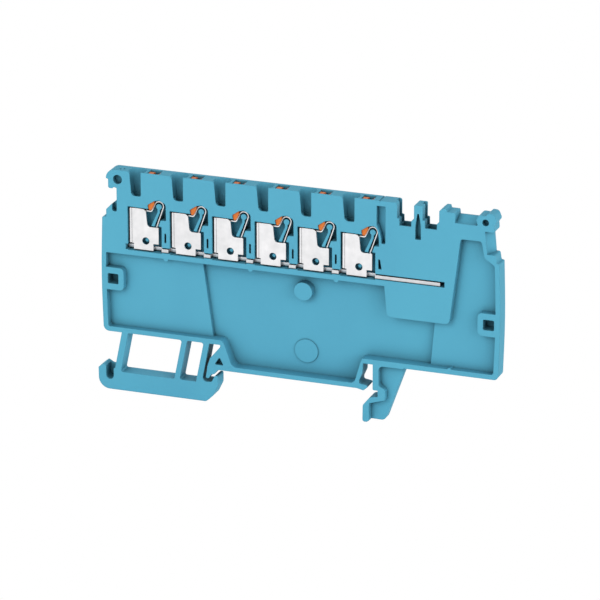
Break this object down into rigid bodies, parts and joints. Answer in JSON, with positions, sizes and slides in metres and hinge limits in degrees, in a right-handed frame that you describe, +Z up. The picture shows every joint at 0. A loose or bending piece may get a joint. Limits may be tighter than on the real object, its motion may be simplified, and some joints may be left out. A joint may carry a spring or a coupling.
{
  "type": "push-in terminal block",
  "caption": "Flat rail-mounted distribution terminal block, open on one side, with push-in spring clamps on a common bar, release buttons and a sprung rail foot.",
  "frame": {"origin": "middle of the flat seat on the rail, halfway through the thickness", "axes": "+X along the block towards the bridge channels, +Y from the open face to the closed back, +Z up from the rail"},
  "size_m": [0.0926, 0.0036, 0.0511],
  "materials": {
    "housing_plastic": "fine satin moulded polyamide",
    "button_plastic": "satin moulded plastic",
    "tinned_copper": "tin plated, satin",
    "tinned_clamp": "tin plated, matt",
    "spring_steel": "bright rolled spring strip"
  },
  "bodies": {
    "block": {"housing": "housing_plastic", "current_bar": "tinned_copper", "clamp_frame_1": "tinned_clamp", "clamp_frame_2": "tinned_clamp", "clamp_frame_3": "tinned_clamp", "clamp_frame_4": "tinned_clamp", "clamp_frame_5": "tinned_clamp", "clamp_frame_6": "tinned_clamp", "clamp_spring_1": "spring_steel", "clamp_spring_2": "spring_steel", "clamp_spring_3": "spring_steel", "clamp_spring_4": "spring_steel", "clamp_spring_5": "spring_steel", "clamp_spring_6": "spring_steel"},
    "button_1": {"release_button_1": "button_plastic"},
    "button_2": {"release_button_2": "button_plastic"},
    "button_3": {"release_button_3": "button_plastic"},
    "button_4": {"release_button_4": "button_plastic"},
    "button_5": {"release_button_5": "button_plastic"},
    "button_6": {"release_button_6": "button_plastic"}
  },
  "joints": [
    {"name": "button_1_press", "type": "slide", "parent": "block", "child": "button_1", "axis": [0, 0, -1], "range_m": [0, 0.0015], "stiffness_N_per_m": 3000, "deforming": ["clamp_spring_1"]},
    {"name": "button_2_press", "type": "slide", "parent": "block", "child": "button_2", "axis": [0, 0, -1], "range_m": [0, 0.0015], "stiffness_N_per_m": 3000, "deforming": ["clamp_spring_2"]},
    {"name": "button_3_press", "type": "slide", "parent": "block", "child": "button_3", "axis": [0, 0, -1], "range_m": [0, 0.0015], "stiffness_N_per_m": 3000, "deforming": ["clamp_spring_3"]},
    {"name": "button_4_press", "type": "slide", "parent": "block", "child": "button_4", "axis": [0, 0, -1], "range_m": [0, 0.0015], "stiffness_N_per_m": 3000, "deforming": ["clamp_spring_4"]},
    {"name": "button_5_press", "type": "slide", "parent": "block", "child": "button_5", "axis": [0, 0, -1], "range_m": [0, 0.0015], "stiffness_N_per_m": 3000, "deforming": ["clamp_spring_5"]},
    {"name": "button_6_press", "type": "slide", "parent": "block", "child": "button_6", "axis": [0, 0, -1], "range_m": [0, 0.0015], "stiffness_N_per_m": 3000, "deforming": ["clamp_spring_6"]}
  ]
}
